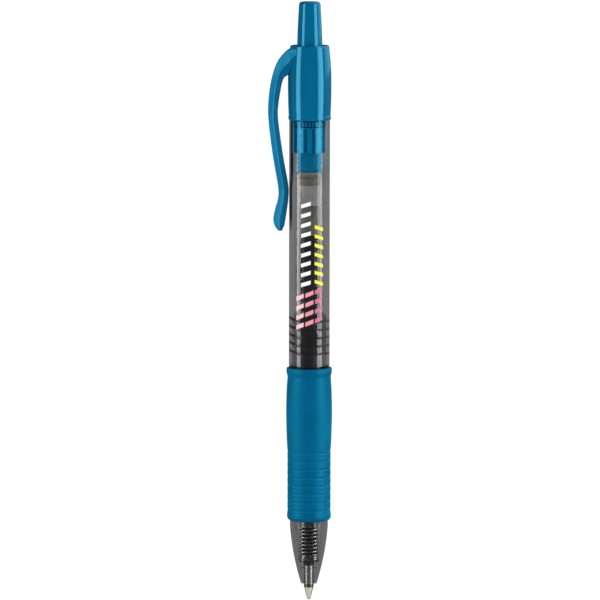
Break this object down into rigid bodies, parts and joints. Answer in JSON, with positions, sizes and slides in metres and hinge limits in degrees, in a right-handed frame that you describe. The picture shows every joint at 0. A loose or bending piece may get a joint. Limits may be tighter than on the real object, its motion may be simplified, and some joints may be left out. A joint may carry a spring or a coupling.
{
  "type": "gel pen",
  "caption": "Retractable gel pen: clear smoke barrel and nose, blue rubber grip, blue knock button and spring clip, with a cam mechanism and a removable refill.",
  "frame": {"origin": "lowest point of the writing ball with the point out, on the pen's axis", "axes": "+Z along the pen from the point to the knock button, -X towards the clip"},
  "size_m": [0.0151, 0.0108, 0.1405],
  "materials": {
    "blue_plastic": "glossy opaque moulded plastic",
    "clear_smoke": "clear smoke-grey moulded plastic",
    "blue_rubber": "matte soft-touch rubber",
    "clear_tube": "clear extruded tube",
    "black_ink": "opaque wet ink",
    "grease": "translucent grease",
    "white_plastic": "translucent white moulded plastic",
    "dark_plastic": "moulded plastic full of dark ink",
    "nickel_silver": "turned and polished metal",
    "spring_steel": "drawn steel wire",
    "carbide": "ground and polished ball"
  },
  "bodies": {
    "barrel": {"barrel": "clear_smoke", "clip_sleeve": "blue_plastic"},
    "clip": {"pocket_clip": "blue_plastic"},
    "knock": {"knock_button": "blue_plastic"},
    "rotor": {"cam_rotor": "blue_plastic"},
    "spring": {"return_spring": "spring_steel"},
    "front": {"front_barrel": "clear_smoke", "grip": "blue_rubber"},
    "refill": {"ink_tube": "clear_tube", "tail_plug": "white_plastic", "grease_follower": "grease", "gel_ink": "black_ink", "tip_holder": "dark_plastic", "writing_tip": "nickel_silver"},
    "ball": {"writing_ball": "carbide"}
  },
  "joints": [
    {"name": "clip_flex", "type": "hinge", "parent": "barrel", "child": "clip", "pos_m": [-0.0046, 0, 0.1303], "axis": [0, 1, 0], "range_deg": [0, 4.3]},
    {"name": "knock_slide", "type": "slide", "parent": "barrel", "child": "knock", "axis": [0, 0, 1], "range_m": [-0.0013, 0.0055]},
    {"name": "rotor_turn", "type": "hinge", "parent": "knock", "child": "rotor", "pos_m": [0, 0, 0.106], "axis": [0, 0, 1], "range_deg": [0, 90]},
    {"name": "front_travel", "type": "slide", "parent": "barrel", "child": "spring", "axis": [0, 0, 1], "range_m": [-0.0095, 0]},
    {"name": "front_turn", "type": "hinge", "parent": "spring", "child": "front", "pos_m": [0, 0, 0.0553], "axis": [0, 0, 1], "range_deg": [-1803, 3]},
    {"name": "refill_slide", "type": "slide", "parent": "spring", "child": "refill", "axis": [0, 0, 1], "range_m": [-0.0013, 0.0055], "deforming": ["return_spring"]},
    {"name": "ball_roll", "type": "hinge", "parent": "refill", "child": "ball", "pos_m": [0, 0, 0.00035], "axis": [0, 1, 0], "continuous": true}
  ],
  "couplings": [
    {"joint": "front_turn", "follows": "front_travel", "rad_per_m": 3306.9},
    {"joint": "refill_slide", "follows": "knock_slide", "ratio": 1}
  ]
}
